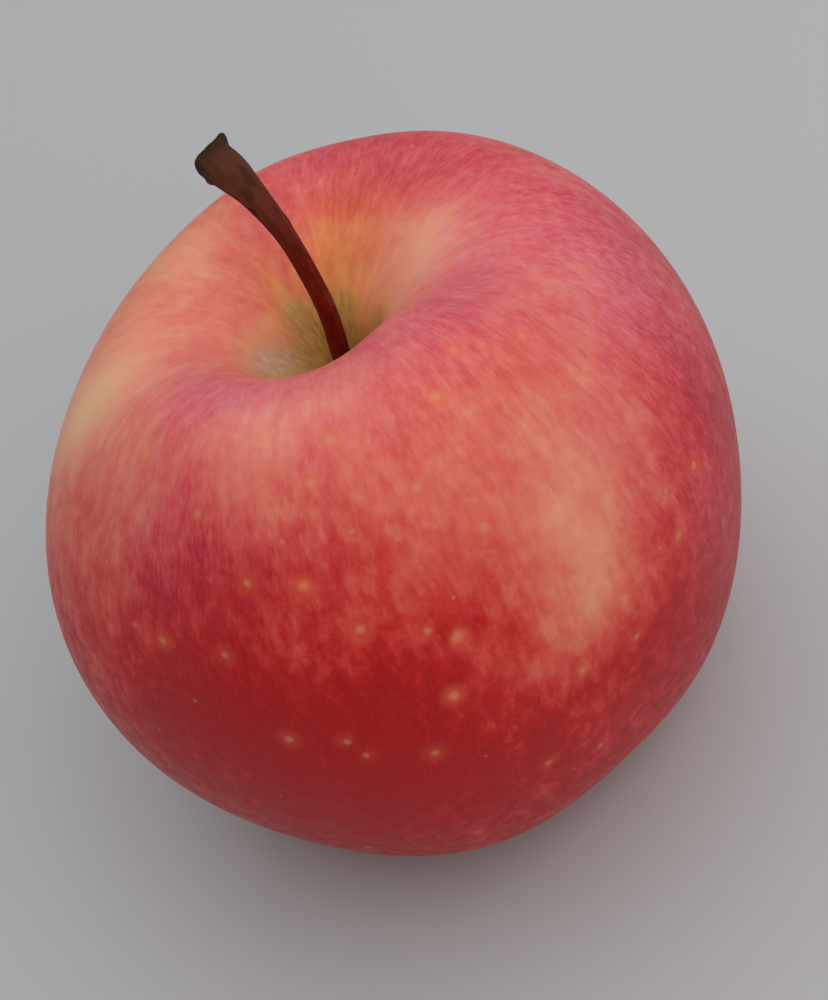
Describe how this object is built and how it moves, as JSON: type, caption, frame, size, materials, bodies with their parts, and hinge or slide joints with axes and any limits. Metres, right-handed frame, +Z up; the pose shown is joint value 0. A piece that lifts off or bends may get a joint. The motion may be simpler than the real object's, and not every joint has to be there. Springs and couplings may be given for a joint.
{
  "type": "royal gala apple",
  "caption": "Whole dessert apple with a deep stem cavity, a woody stem and a dried calyx, standing on the lobes round its calyx basin.",
  "frame": {"origin": "middle of the object's box at its lowest level, on the ground under the fruit", "axes": "+Z up from the calyx to the stem, +X to the right and +Y away from the picture's viewpoint"},
  "size_m": [0.0736, 0.068, 0.078],
  "materials": {
    "skin": "satin waxy fruit skin, red blush over creamy yellow",
    "stem": "rough bark, dark red brown",
    "sepals": "dry, downy, grey brown",
    "stamens": "dry, dark brown"
  },
  "bodies": {
    "root": {"fruit": "skin", "stem": "stem", "sepals": "sepals", "stamens": "stamens"}
  },
  "joints": []
}
